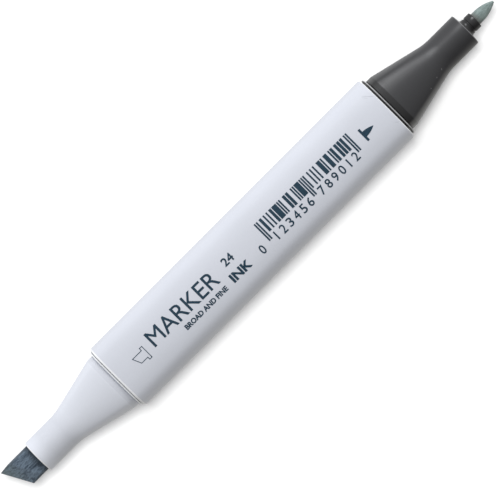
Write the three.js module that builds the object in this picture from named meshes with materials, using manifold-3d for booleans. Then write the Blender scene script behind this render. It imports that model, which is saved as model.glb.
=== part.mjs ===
// Twin-tip felt marker, lying on one flat of its barrel with both nibs uncovered.
// Millimetres. X runs along the marker from the broad nib to the fine nib and Z is up. The origin
// is on the resting face, below the middle of the whole length.
// Each end is modelled in its own frame: local X is the distance outwards from the barrel's end.
import * as THREE from "three";
import { mergeVertices } from "three/addons/utils/BufferGeometryUtils.js";
import Module from "manifold-3d";

const wasm = await Module();
wasm.setup();

// Driving dimensions
const WIDTH = 15.2; // barrel across its flats
const BARREL_LENGTH = 74;
const TIP_REACH = 29.1; // both nib tips, beyond the barrel's ends
const BROAD_COLLAR_LENGTH = 21.8;
const FINE_COLLAR_LENGTH = 21.4;
const HOLDER_REACH = 24.1; // front of the fine nib's holder
const NECK_RADIUS = 3.62; // the round neck that a cap seals on
const BAND_HALF = 6.42; // the square band at the root of a collar
const TAPER = 0.24; // how fast a collar narrows, per millimetre
const BROAD_NIB = { width: 6.16, thickness: 3.4, corner: 0.9 };
const BROAD_NIB_SHORT_SIDE = 25.9; // reach of the short edge of the slanted tip
const FINE_NIB_RADIUS = 1.32;
const NIB_ROOT = -2.5; // the nibs' inner ends, inside the reservoir
const WALL = 1.1;
const SPIGOT_LENGTH = 7; // how far a collar plugs into the barrel
const RESERVOIR_RADIUS = 5.2;
const FILM = 0.15; // thickness of the film round the reservoir
const RESERVOIR_END = 1.4; // beyond the barrel's ends
const GAP = 0.08; // clearance between pieces that fit together

// Soft-square section: a flat of half length `flat` on each side, a shoulder arc that turns
// SHOULDER_TURN, then a corner arc of radius `corner`. `half` is half the width across the flats.
const BARREL_SECTION = { half: WIDTH / 2, flat: 2.2, corner: 3.4 };
const BAND_SECTION = { half: BAND_HALF, flat: 0.8, corner: 3.4 };
const NECK_FLAT = 0.15;
const SHOULDER_TURN = THREE.MathUtils.degToRad(14);
const SHOULDER_STEPS = 2;
const CORNER_STEPS = 4;
const ROUND_STEPS = 36;
const CUT_PAST = 1; // how far a cutting solid runs past the face it opens

const { cos, sin, tan, sqrt, PI } = Math;
const lerp = THREE.MathUtils.lerp;

// ---- solids ----

// The closed geometry as a manifold solid, with its shared vertices merged.
function solidOf(geometry) {
  const bare = new THREE.BufferGeometry();
  bare.setAttribute("position", geometry.getAttribute("position"));
  bare.setIndex(geometry.index);
  const merged = mergeVertices(bare, 1e-4);
  const mesh = new wasm.Mesh({
    numProp: 3,
    vertProperties: merged.getAttribute("position").array,
    triVerts: new Uint32Array(merged.index.array),
  });
  return new wasm.Manifold(mesh);
}

function meshOf(name, solid, material) {
  const { vertProperties, triVerts } = solid.getMesh();
  const geometry = new THREE.BufferGeometry();
  geometry.setAttribute("position", new THREE.BufferAttribute(vertProperties, 3));
  geometry.setIndex(new THREE.BufferAttribute(triVerts, 1));
  geometry.computeVertexNormals();
  const mesh = new THREE.Mesh(geometry, material);
  mesh.name = name;
  return mesh;
}

// A solid of revolution about X. The profile is a list of [x, radius] that starts and ends at 0.
function revolve(profile, steps = ROUND_STEPS) {
  const outline = profile.map(([x, radius]) => new THREE.Vector2(radius, x));
  return solidOf(new THREE.LatheGeometry(outline, steps).rotateZ(-PI / 2));
}

// A box between two corners.
function block([x0, y0, z0], [x1, y1, z1]) {
  const box = new THREE.BoxGeometry(x1 - x0, y1 - y0, z1 - z0);
  return solidOf(box.translate((x0 + x1) / 2, (y0 + y1) / 2, (z0 + z1) / 2));
}

// A bar along X with a rounded rectangular section, from x0 to x1.
function bar({ width, thickness, corner }, x0, x1) {
  const [w, t] = [width / 2, thickness / 2];
  const outline = new THREE.Shape();
  outline.moveTo(w, corner - t);
  outline.absarc(w - corner, t - corner, corner, 0, PI / 2);
  outline.absarc(corner - w, t - corner, corner, PI / 2, PI);
  outline.absarc(corner - w, corner - t, corner, PI, 1.5 * PI);
  outline.absarc(w - corner, corner - t, corner, 1.5 * PI, 2 * PI);
  const options = { depth: x1 - x0, bevelEnabled: false, curveSegments: 4 };
  const geometry = new THREE.ExtrudeGeometry(outline, options);
  // The outline's own x, y and depth become Y, Z and X.
  const turn = new THREE.Matrix4().makeBasis(
    new THREE.Vector3(0, 1, 0),
    new THREE.Vector3(0, 0, 1),
    new THREE.Vector3(1, 0, 0),
  );
  return solidOf(geometry.applyMatrix4(turn).translate(x0, 0, 0));
}

const enlarge = ({ width, thickness, corner }, by) => ({
  width: width + 2 * by,
  thickness: thickness + 2 * by,
  corner: corner + by,
});

// ---- soft-square lofts ----

// The same section moved outwards by a distance, which leaves its flats as long as they were.
const offset = ({ half, flat, corner }, by) => ({ half: half + by, flat, corner: corner + by });

// The points [y, z] of a soft square, counterclockwise seen from +X.
function softSquare({ half, flat, corner }) {
  const span = half - flat - corner * (cos(SHOULDER_TURN) - sin(SHOULDER_TURN));
  const shoulder = span / (1 + sin(SHOULDER_TURN) - cos(SHOULDER_TURN));
  const arcs = [
    [shoulder, 0, SHOULDER_TURN, SHOULDER_STEPS],
    [corner, SHOULDER_TURN, PI / 2 - SHOULDER_TURN, CORNER_STEPS],
    [shoulder, PI / 2 - SHOULDER_TURN, PI / 2, SHOULDER_STEPS],
  ];
  const quarter = [[half, flat]];
  for (const [radius, from, to, steps] of arcs) {
    for (let step = 1; step <= steps; step++) {
      const [a, b] = [step - 1, step].map((k) => lerp(from, to, k / steps));
      const [y, z] = quarter.at(-1);
      quarter.push([y + radius * (cos(b) - cos(a)), z + radius * (sin(b) - sin(a))]);
    }
  }
  const turned = (quarters) => ([y, z]) => {
    const angle = (quarters * PI) / 2;
    return [y * cos(angle) - z * sin(angle), y * sin(angle) + z * cos(angle)];
  };
  return [0, 1, 2, 3].flatMap((quarters) => quarter.map(turned(quarters)));
}

// A closed solid through soft-square sections, each with its x, in order of x.
function loft(stations) {
  const rings = stations.map(({ x, ...section }) =>
    softSquare(section).map(([y, z]) => [x, y, z]),
  );
  const count = rings[0].length;
  const index = [];
  for (let ring = 0; ring < rings.length - 1; ring++) {
    for (let point = 0; point < count; point++) {
      const next = (point + 1) % count;
      const [a, b] = [ring * count + point, ring * count + next];
      index.push(a, b, a + count, b, b + count, a + count);
    }
  }
  const last = (rings.length - 1) * count;
  for (let point = 1; point < count - 1; point++) {
    index.push(0, point + 1, point, last, last + point, last + point + 1);
  }
  const geometry = new THREE.BufferGeometry();
  const positions = new Float32Array(rings.flat(2));
  geometry.setAttribute("position", new THREE.BufferAttribute(positions, 3));
  geometry.setIndex(index);
  return solidOf(geometry);
}

// ---- barrel ----

const BARREL_EDGE = { inset: 0.4, length: 0.9, steps: 3 }; // the rounding at each end
const CAVITY_SECTION = offset(BARREL_SECTION, -WALL);
const RIB = { width: 0.9, short: 0.5 }; // ribs that hold the reservoir, between the spigots

function barrelSolid() {
  const end = BARREL_LENGTH / 2;
  const rounding = [];
  for (let step = 0; step <= BARREL_EDGE.steps; step++) {
    const angle = ((step / BARREL_EDGE.steps) * PI) / 2;
    const section = offset(BARREL_SECTION, BARREL_EDGE.inset * (sin(angle) - 1));
    rounding.push({ x: end - BARREL_EDGE.length * (1 - cos(angle)), ...section });
  }
  const mirrored = rounding.map((station) => ({ ...station, x: -station.x }));
  const outside = loft([...mirrored, ...rounding.reverse()]);

  let cavity = loft([-1, 1].map((side) => ({ x: side * (end + CUT_PAST), ...CAVITY_SECTION })));
  const ribEnd = end - SPIGOT_LENGTH - RIB.short;
  const ribTip = RESERVOIR_RADIUS + FILM + 2 * GAP;
  const ribRoot = CAVITY_SECTION.half + CUT_PAST;
  const rib = block([-ribEnd, -RIB.width / 2, ribTip], [ribEnd, RIB.width / 2, ribRoot]);
  for (const quarterTurn of [0, 90, 180, 270]) {
    cavity = cavity.subtract(rib.rotate([quarterTurn, 0, 0]));
  }
  return outside.subtract(cavity);
}

// ---- collars ----

const FLANGE = { section: offset(BARREL_SECTION, -0.48), chamfer: 0.14, from: GAP, to: 0.4 };
const SPIGOT = { section: offset(CAVITY_SECTION, -GAP), leadIn: 0.3 };
const GROOVE = 0.3; // width of the V-groove where the band leaves the flange
const BAND_END = 1.9;
const FILLET_TANGENT = 1.6; // tangent length of the fillet between the taper and the neck
const FLARE_STEPS = 5;
const FILLET_STEPS = 3;
const CAVITY_RADIUS = RESERVOIR_RADIUS + FILM + 3 * GAP;
const TAPER_WALL = 0.85;

// Half width, at x, of the flats of a collar, from its band to its neck.
const SLOPE = Math.atan(TAPER);
const TAPER_END = BAND_END + (BAND_HALF - NECK_RADIUS) / TAPER;
const FILLET = {
  from: TAPER_END - FILLET_TANGENT * cos(SLOPE),
  to: TAPER_END + FILLET_TANGENT,
  radius: FILLET_TANGENT / tan(SLOPE / 2),
};
function collarHalf(x) {
  if (x <= FILLET.from) return BAND_HALF - TAPER * (x - BAND_END);
  const short = Math.max(FILLET.to - x, 0);
  return NECK_RADIUS + FILLET.radius - sqrt(FILLET.radius ** 2 - short ** 2);
}

// The section at x: square at the band, round at the neck.
function collarSection(x) {
  const half = collarHalf(x);
  const along = THREE.MathUtils.clamp((x - BAND_END) / (FILLET.to - BAND_END), 0, 1);
  const roundness = along ** 3;
  return {
    x,
    half,
    flat: lerp((BAND_SECTION.flat * half) / BAND_HALF, NECK_FLAT, roundness),
    corner: lerp(BAND_SECTION.corner, half - NECK_FLAT, roundness),
  };
}

// The outside of a collar of a given length, whose mouth has a rounded lip.
function collarOutside(length, lip) {
  const spigotStart = { x: -SPIGOT_LENGTH, ...offset(SPIGOT.section, -SPIGOT.leadIn) };
  const stations = [
    spigotStart,
    { x: 2 * SPIGOT.leadIn - SPIGOT_LENGTH, ...SPIGOT.section },
    { x: FLANGE.from, ...SPIGOT.section },
    { x: FLANGE.from, ...FLANGE.section },
    { x: FLANGE.to - FLANGE.chamfer, ...FLANGE.section },
    { x: FLANGE.to, ...offset(FLANGE.section, -FLANGE.chamfer) },
    { x: FLANGE.to, ...BAND_SECTION },
    { x: FLANGE.to + GROOVE / 2, ...offset(BAND_SECTION, -GROOVE / 2) },
    { x: FLANGE.to + GROOVE, ...BAND_SECTION },
  ];
  for (let step = 0; step <= FLARE_STEPS; step++) {
    stations.push(collarSection(lerp(BAND_END, FILLET.from, step / FLARE_STEPS)));
  }
  for (let step = 1; step <= FILLET_STEPS; step++) {
    stations.push(collarSection(lerp(FILLET.from, FILLET.to, step / FILLET_STEPS)));
  }
  const neck = collarSection(FILLET.to);
  for (const angle of [0, PI / 4, PI / 2]) {
    const section = offset(neck, lip * (cos(angle) - 1));
    stations.push({ ...section, x: length - lip * (1 - sin(angle)) });
  }
  return loft(stations);
}

// The hollow that is open to the barrel, narrowing with the taper as far as x = end.
function collarCavity(end) {
  const endRadius = collarHalf(end) - TAPER_WALL;
  return [
    [-SPIGOT_LENGTH - CUT_PAST, 0],
    [-SPIGOT_LENGTH - CUT_PAST, CAVITY_RADIUS],
    [BAND_END, CAVITY_RADIUS],
    [end, endRadius],
  ];
}

const BROAD_CAVITY_END = 11.2;
const BROAD_MOUTH = { radius: 3.27, depth: 1.2, lip: 0.25 };
const VENT = { width: 1, height: 4.7 }; // air channel above and below the broad nib

function broadCollarSolid() {
  const end = BROAD_COLLAR_LENGTH;
  const slotFrom = BROAD_CAVITY_END - 2 * CUT_PAST;
  const slot = bar(enlarge(BROAD_NIB, GAP), slotFrom, end + CUT_PAST);
  const vent = block(
    [slotFrom, -VENT.width / 2, -VENT.height / 2],
    [end, VENT.width / 2, VENT.height / 2],
  );
  const mouth = revolve([
    [end - BROAD_MOUTH.depth, 0],
    [end - BROAD_MOUTH.depth, BROAD_MOUTH.radius],
    [end + CUT_PAST, BROAD_MOUTH.radius],
    [end + CUT_PAST, 0],
  ]);
  const cavity = revolve([...collarCavity(BROAD_CAVITY_END), [BROAD_CAVITY_END, 0]]);
  const outside = collarOutside(end, BROAD_MOUTH.lip);
  return outside.subtract(cavity).subtract(slot).subtract(vent).subtract(mouth);
}

const FINE_CAVITY_END = 12.4;
const WEB = { to: 13.4, hole: 2.03 }; // the wall that the holder's shank stops against
const FINE_BORE = 2.88;
const FINE_LIP = 0.12;

function fineCollarSolid() {
  const end = FINE_COLLAR_LENGTH + CUT_PAST;
  const hollow = revolve([
    ...collarCavity(FINE_CAVITY_END),
    [FINE_CAVITY_END, WEB.hole],
    [WEB.to, WEB.hole],
    [WEB.to, FINE_BORE],
    [end, FINE_BORE],
    [end, 0],
  ]);
  return collarOutside(FINE_COLLAR_LENGTH, FINE_LIP).subtract(hollow);
}

// ---- fine nib's holder ----

const HOLDER = {
  flange: 2.45, // radius where the fillet leaves the front face
  nose: 1.79,
  groove: 1.66,
  tailEnd: 2, // the tail guides the nib as far as the reservoir
  ventWidth: 0.8,
  ventFloor: 2.2,
};

function holderSolid() {
  const shank = FINE_BORE - GAP;
  const tail = WEB.hole - GAP;
  const face = FINE_COLLAR_LENGTH;
  const filletRadius = HOLDER.flange - HOLDER.nose;
  const fillet = [0, PI / 6, PI / 3, PI / 2].map((angle) => [
    face + filletRadius * (1 - cos(angle)),
    HOLDER.flange - filletRadius * sin(angle),
  ]);
  const outside = revolve([
    [HOLDER.tailEnd, 0],
    [HOLDER.tailEnd, tail - 0.3],
    [HOLDER.tailEnd + 0.6, tail],
    [WEB.to + GAP, tail],
    [WEB.to + GAP, shank],
    [face, shank],
    ...fillet,
    [face + 0.9, HOLDER.nose],
    [face + 1, HOLDER.groove],
    [face + 1.2, HOLDER.groove],
    [face + 1.3, HOLDER.nose],
    [HOLDER_REACH - 0.15, HOLDER.nose],
    [HOLDER_REACH, HOLDER.nose - 0.15],
    [HOLDER_REACH, 0],
  ]);
  const boreRadius = FINE_NIB_RADIUS + GAP;
  const bore = revolve([
    [HOLDER.tailEnd - CUT_PAST, 0],
    [HOLDER.tailEnd - CUT_PAST, boreRadius],
    [HOLDER_REACH + CUT_PAST, boreRadius],
    [HOLDER_REACH + CUT_PAST, 0],
  ]);
  const vent = block(
    [WEB.to, -HOLDER.ventWidth / 2, HOLDER.ventFloor],
    [face + CUT_PAST, HOLDER.ventWidth / 2, shank + CUT_PAST],
  );
  let holder = outside.subtract(bore);
  for (const turn of [45, 135, 225, 315]) holder = holder.subtract(vent.rotate([turn, 0, 0]));
  return holder;
}

// ---- nibs ----

const OGIVE = { from: 24.9, radius: 8.3, steps: 9, tipRadius: 0.3 };

function fineNibSolid() {
  const profile = [
    [NIB_ROOT, 0],
    [NIB_ROOT, FINE_NIB_RADIUS - 0.3],
    [NIB_ROOT + 0.5, FINE_NIB_RADIUS],
  ];
  const ogiveEnd = TIP_REACH - OGIVE.tipRadius;
  for (let step = 0; step <= OGIVE.steps; step++) {
    const x = lerp(OGIVE.from, ogiveEnd, step / OGIVE.steps);
    const drop = OGIVE.radius - sqrt(OGIVE.radius ** 2 - (x - OGIVE.from) ** 2);
    profile.push([x, FINE_NIB_RADIUS - drop]);
  }
  profile.push([TIP_REACH - OGIVE.tipRadius / 4, OGIVE.tipRadius * 0.8], [TIP_REACH, 0]);
  return revolve(profile, ROUND_STEPS);
}

// The slanted edge runs from the long side, at -y in the end's own frame, to the short side.
const SIDE_TAPER = { length: 2.2, depth: 0.25 };
const BEVEL = { length: 2.3, edge: 1.3 };

// A half space as a large block whose face passes through a point and whose inside is away from
// the given normal.
function halfSpace(point, normal) {
  const size = 60;
  const turn = new THREE.Quaternion().setFromUnitVectors(
    new THREE.Vector3(1, 0, 0),
    normal.clone().normalize(),
  );
  const box = new THREE.BoxGeometry(size, size, size).translate(size / 2, 0, 0);
  return solidOf(box.applyQuaternion(turn).translate(point.x, point.y, point.z));
}

function broadNibSolid() {
  const halfWidth = BROAD_NIB.width / 2;
  const halfThickness = BROAD_NIB.thickness / 2;
  const tip = new THREE.Vector3(TIP_REACH, SIDE_TAPER.depth - halfWidth, 0);
  const heel = new THREE.Vector3(BROAD_NIB_SHORT_SIDE, halfWidth, 0);
  const edge = heel.clone().sub(tip).normalize();
  const ahead = new THREE.Vector3(edge.y, -edge.x, 0);
  let nib = bar(BROAD_NIB, NIB_ROOT, TIP_REACH + CUT_PAST);
  nib = nib.subtract(halfSpace(tip, ahead));
  for (const side of [1, -1]) {
    const bevelDrop = halfThickness - BEVEL.edge / 2;
    const normal = ahead.clone().multiplyScalar(bevelDrop);
    normal.z = side * BEVEL.length;
    const onEdge = new THREE.Vector3(tip.x, tip.y, (side * BEVEL.edge) / 2);
    nib = nib.subtract(halfSpace(onEdge, normal));
  }
  const sideNormal = new THREE.Vector3(SIDE_TAPER.depth, -SIDE_TAPER.length, 0);
  return nib.subtract(halfSpace(tip, sideNormal));
}

// ---- reservoir ----

function reservoirCoreSolid() {
  const end = BARREL_LENGTH / 2 + RESERVOIR_END;
  const pocket = BARREL_LENGTH / 2 + NIB_ROOT - GAP;
  const core = revolve([
    [-end, 0],
    [-end, RESERVOIR_RADIUS],
    [end, RESERVOIR_RADIUS],
    [end, 0],
  ]);
  const broadPocket = bar(enlarge(BROAD_NIB, 1.5 * GAP), -end - CUT_PAST, -pocket);
  const finePocketRadius = FINE_NIB_RADIUS + 1.5 * GAP;
  const finePocket = revolve([
    [pocket, 0],
    [pocket, finePocketRadius],
    [end + CUT_PAST, finePocketRadius],
    [end + CUT_PAST, 0],
  ]);
  return core.subtract(broadPocket).subtract(finePocket);
}

function reservoirFilmSolid() {
  const end = BARREL_LENGTH / 2 + RESERVOIR_END;
  const inside = RESERVOIR_RADIUS + GAP;
  const outside = inside + FILM;
  const tube = (radius, reach) =>
    revolve([
      [-reach, 0],
      [-reach, radius],
      [reach, radius],
      [reach, 0],
    ]);
  return tube(outside, end).subtract(tube(inside, end + CUT_PAST));
}

// ---- assembly ----

const plastic = (name, color, roughness) =>
  new THREE.MeshStandardMaterial({ name, color, roughness, metalness: 0, flatShading: true });

const MATERIALS = {
  barrel: plastic("barrel_plastic", 0xd9dce6, 0.35),
  broadCollar: plastic("white_collar_plastic", 0xd8dbe4, 0.4),
  fineCollar: plastic("grey_collar_plastic", 0x4b4b4e, 0.45),
  holder: plastic("holder_plastic", 0x232325, 0.3),
  broadNib: plastic("broad_nib_felt", 0x5a6a76, 0.95),
  fineNib: plastic("fine_nib_felt", 0x87979a, 0.9),
  core: plastic("reservoir_fibre", 0xc9d0d2, 1),
  film: plastic("reservoir_film", 0xe6ebef, 0.2),
};

// A group in the frame of one end: +1 is the fine end and -1 the broad end, turned half round.
function endGroup(side, meshes) {
  const group = new THREE.Group();
  group.position.x = (side * BARREL_LENGTH) / 2;
  group.rotation.z = side > 0 ? 0 : PI;
  return group.add(...meshes);
}

const marker = new THREE.Group();
marker.position.z = WIDTH / 2;
marker.add(
  meshOf("barrel", barrelSolid(), MATERIALS.barrel),
  meshOf("reservoir_core", reservoirCoreSolid(), MATERIALS.core),
  meshOf("reservoir_film", reservoirFilmSolid(), MATERIALS.film),
  endGroup(-1, [
    meshOf("broad_collar", broadCollarSolid(), MATERIALS.broadCollar),
    meshOf("broad_nib", broadNibSolid(), MATERIALS.broadNib),
  ]),
  endGroup(1, [
    meshOf("fine_collar", fineCollarSolid(), MATERIALS.fineCollar),
    meshOf("fine_nib_holder", holderSolid(), MATERIALS.holder),
    meshOf("fine_nib", fineNibSolid(), MATERIALS.fineNib),
  ]),
);

const part = new THREE.Group();
part.add(marker);

export default part;
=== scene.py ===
"""The looks of the twin-tip felt marker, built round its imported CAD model.

Sizes are in millimetres, apart from those of the stage, and MM turns them into the CAD frame's
metres. Each end of the marker is built in a frame of its own: s is the distance outwards from the
barrel's end, and the broad end is the same frame turned half round about Z.
"""
import math
import re

import bmesh
import bpy
import numpy as np
from mathutils import Matrix, Vector


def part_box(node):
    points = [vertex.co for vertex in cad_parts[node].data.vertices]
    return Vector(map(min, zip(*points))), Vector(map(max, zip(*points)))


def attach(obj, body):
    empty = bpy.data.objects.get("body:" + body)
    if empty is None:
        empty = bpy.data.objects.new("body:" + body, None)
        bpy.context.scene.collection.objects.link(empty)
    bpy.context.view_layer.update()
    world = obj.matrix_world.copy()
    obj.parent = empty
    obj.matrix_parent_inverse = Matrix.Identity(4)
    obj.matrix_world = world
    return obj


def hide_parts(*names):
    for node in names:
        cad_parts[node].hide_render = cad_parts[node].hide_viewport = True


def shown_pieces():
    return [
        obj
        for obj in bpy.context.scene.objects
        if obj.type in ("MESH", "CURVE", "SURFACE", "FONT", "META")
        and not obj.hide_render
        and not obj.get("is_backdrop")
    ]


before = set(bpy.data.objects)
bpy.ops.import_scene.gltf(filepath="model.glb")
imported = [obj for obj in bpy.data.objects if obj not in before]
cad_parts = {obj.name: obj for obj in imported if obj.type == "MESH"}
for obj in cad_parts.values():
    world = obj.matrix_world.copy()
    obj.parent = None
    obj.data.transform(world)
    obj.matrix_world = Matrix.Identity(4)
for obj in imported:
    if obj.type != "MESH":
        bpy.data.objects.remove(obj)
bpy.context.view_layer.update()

MM = 0.001


# ---- places, from the frame ----

def node_box(node):
    """The lowest and highest corners of a CAD node, in millimetres."""
    low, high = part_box(node)
    return [value / MM for value in low], [value / MM for value in high]


BARREL_LOW, BARREL_HIGH = node_box("barrel")
BARREL_END = BARREL_HIGH[0]
BARREL_HALF = (BARREL_HIGH[1] - BARREL_LOW[1]) / 2
AXIS_HEIGHT = (BARREL_LOW[2] + BARREL_HIGH[2]) / 2
FINE_COLLAR_END = node_box("fine_collar")[1][0] - BARREL_END
BROAD_COLLAR_END = -node_box("broad_collar")[0][0] - BARREL_END
SPIGOT_LENGTH = BARREL_END - node_box("fine_collar")[0][0]
HOLDER_END = node_box("fine_nib_holder")[1][0] - BARREL_END
TIP_END = node_box("fine_nib")[1][0] - BARREL_END
NIB_ROOT = node_box("fine_nib")[0][0] - BARREL_END
RESERVOIR_END = node_box("reservoir_core")[1][0]
RESERVOIR_RADIUS = node_box("reservoir_core")[1][1]
FILM_RADIUS = node_box("reservoir_film")[1][1]

# ---- sizes that repeat the CAD model's ----

BARREL_FLAT = 2.2  # how far the crown of each of the barrel's faces reaches from its middle
BARREL_CORNER = 3.4
WALL = 1.1
BAND_HALF = 6.42
BAND_CORNER = 1.3
NECK_RADIUS = 3.62
TAPER = 0.24  # how much a collar narrows on each side for each millimetre of its length
TAPER_START = 1.9
FILLET_TANGENT = 1.6  # length of the fillet between taper and neck, to each side of their corner
BARREL_TURN = math.radians(17)  # how far the barrel's faces turn before its round corners
BARREL_CROWN = 24  # radius of the faint crown on the barrel's faces
COLLAR_TURN = math.radians(29)
COLLAR_CROWN = 1.9  # the same radius on a collar, as a share of its half width
COLLAR_FACE = 0.5  # reach of the crown on a collar, as a share of its half width
GAP = 0.08  # clearance between pieces

AROUND = 160  # points in a ring
ARC_POINTS = 40
SIDE_POINTS = 60
ANGLES = np.arange(AROUND) * 2 * math.pi / AROUND


# ---- sections: rings of (y, z) points at fixed angles round the axis ----

def at_ring_angles(outline):
    """A closed outline of (y, z) points, sampled where the rings' fixed angles cross it."""
    outline = np.asarray(outline)
    angles = np.unwrap(np.arctan2(outline[:, 1], outline[:, 0]))
    radii = np.hypot(outline[:, 0], outline[:, 1])
    order = np.argsort(angles % (2 * math.pi))
    turn = (angles % (2 * math.pi))[order]
    radius = np.interp(ANGLES, turn, radii[order], period=2 * math.pi)
    return np.column_stack([radius * np.cos(ANGLES), radius * np.sin(ANGLES)])


def arc(centre, radius, start, stop):
    angles = np.linspace(start, stop, ARC_POINTS)
    return np.column_stack([centre[0] + radius * np.cos(angles), centre[1] + radius * np.sin(angles)])


def four_turns(quarter):
    """A quarter of an outline, repeated round the axis."""
    turns = []
    for count in range(4):
        angle = count * math.pi / 2
        spin = np.array([[math.cos(angle), math.sin(angle)], [-math.sin(angle), math.cos(angle)]])
        turns.append(quarter @ spin)
    return np.vstack(turns)


def soft_square(half, face, corner, inset=0.0, crown=BARREL_CROWN, turn=BARREL_TURN):
    """A square of four faintly crowned faces, shoulder arcs and round corners, moved in by inset.

    half is half its width across the middles of its faces. A face has a radius of crown as far as
    face from its middle, the shoulder arc goes on until the surface has turned by turn, and corner
    is the radius of the corner arc.
    """
    def slant(angle):
        return math.cos(angle) - math.sin(angle)

    face_turn = math.asin(face / crown)
    shoulder = (half - crown * (1 - slant(face_turn)) - corner * slant(turn)) / (
        slant(face_turn) - slant(turn)
    )
    spans = [
        (crown, -face_turn, face_turn),
        (shoulder, face_turn, turn),
        (corner, turn, math.pi / 2 - turn),
        (shoulder, math.pi / 2 - turn, math.pi / 2 - face_turn),
    ]
    point = np.array([half - crown * (1 - math.cos(face_turn)), -face])
    quarter = []
    for radius, start, stop in spans:
        angles = np.linspace(start, stop, ARC_POINTS)
        normals = np.column_stack([np.cos(angles), np.sin(angles)])
        points = point + radius * (normals - normals[0])
        quarter.append(points - inset * normals)
        point = points[-1]
    return at_ring_angles(four_turns(np.vstack(quarter)))


def circle(radius):
    return radius * np.column_stack([np.cos(ANGLES), np.sin(ANGLES)])


def round_box(width, thickness, corner):
    """A rounded rectangle, width along y and thickness along z."""
    y, z = width / 2 - corner, thickness / 2 - corner
    sides = np.linspace(-1, 1, SIDE_POINTS)
    ones = np.ones(SIDE_POINTS)
    outline = np.vstack([
        np.column_stack([ones * width / 2, sides * z]),
        arc((y, z), corner, 0, math.pi / 2),
        np.column_stack([-sides * y, ones * thickness / 2]),
        arc((-y, z), corner, math.pi / 2, math.pi),
        np.column_stack([-ones * width / 2, -sides * z]),
        arc((-y, -z), corner, math.pi, 1.5 * math.pi),
        np.column_stack([sides * y, -ones * thickness / 2]),
        arc((y, -z), corner, 1.5 * math.pi, 2 * math.pi),
    ])
    return at_ring_angles(outline)


# ---- solids made of rings ----

def end_place(side):
    """Turns (s, y, z) of an end's own frame into a place in the row frame, in millimetres."""
    def place(s, y, z):
        return side * (BARREL_END + s), side * y, AXIS_HEIGHT + z
    return place


def row_place(x, y, z):
    return x, y, AXIS_HEIGHT + z


def join_loops(mesh, loops, closed=False):
    """Joins rings of vertices: the last one to the first, or else with a face over each end."""
    pairs = list(zip(loops, loops[1:]))
    if closed:
        pairs.append((loops[-1], loops[0]))
    else:
        mesh.faces.new(loops[0])
        mesh.faces.new(loops[-1])
    for first, second in pairs:
        for i in range(AROUND):
            mesh.faces.new((first[i - 1], first[i], second[i], second[i - 1]))


def ring_solid(name, stations, place, closed=False):
    """A solid through (x, ring) stations. A closed one joins its last ring to its first."""
    mesh = bmesh.new()
    loops = []
    for x, ring in stations:
        points = [place(x, y, z) for y, z in ring]
        loops.append([mesh.verts.new(Vector(point) * MM) for point in points])
    join_loops(mesh, loops, closed)
    return finish_mesh(name, mesh)


def finish_mesh(name, mesh, sharp_angle=32):
    """The bmesh as a smooth-shaded object with its faces out and its hard edges kept."""
    bmesh.ops.recalc_face_normals(mesh, faces=mesh.faces)
    if mesh.calc_volume(signed=True) < 0:
        bmesh.ops.reverse_faces(mesh, faces=mesh.faces)
    data = bpy.data.meshes.new(name)
    mesh.to_mesh(data)
    mesh.free()
    data.shade_smooth()
    data.set_sharp_from_angle(angle=math.radians(sharp_angle))
    piece = bpy.data.objects.new(name, data)
    bpy.context.scene.collection.objects.link(piece)
    return piece


def settle(piece, body, slot, material, *nodes):
    """Says which body a piece rides on, which CAD nodes it stands for and what it is made of."""
    piece.data.materials.append(material)
    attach(piece, body)
    if nodes:
        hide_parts(*nodes)


# ---- materials ----

class NodeMaker:
    """Short ways of making the nodes of a material or of the world."""

    def __init__(self, tree):
        self.tree = tree

    def node(self, kind, inputs=None, **settings):
        made = self.tree.nodes.new(kind)
        for name, value in settings.items():
            setattr(made, name, value)
        for socket, value in (inputs or {}).items():
            if isinstance(value, bpy.types.NodeSocket):
                self.tree.links.new(value, made.inputs[socket])
            else:
                made.inputs[socket].default_value = value
        return made

    def math(self, operation, first, second=0.0):
        inputs = {0: first, 1: second}
        return self.node("ShaderNodeMath", inputs, operation=operation).outputs["Value"]

    def dot(self, vector, direction):
        inputs = {0: vector, 1: direction}
        return self.node("ShaderNodeVectorMath", inputs, operation="DOT_PRODUCT").outputs["Value"]

    def ranged(self, value, low, high, to_low=0.0, to_high=1.0):
        inputs = {
            "Value": value,
            "From Min": low,
            "From Max": high,
            "To Min": to_low,
            "To Max": to_high,
        }
        return self.node("ShaderNodeMapRange", inputs).outputs["Result"]

    def mix(self, factor, first, second):
        first, second = [
            value if isinstance(value, bpy.types.NodeSocket) else (*value, 1.0)
            for value in (first, second)
        ]
        inputs = {0: factor, 6: first, 7: second}
        return self.node("ShaderNodeMix", inputs, data_type="RGBA").outputs[2]


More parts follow.
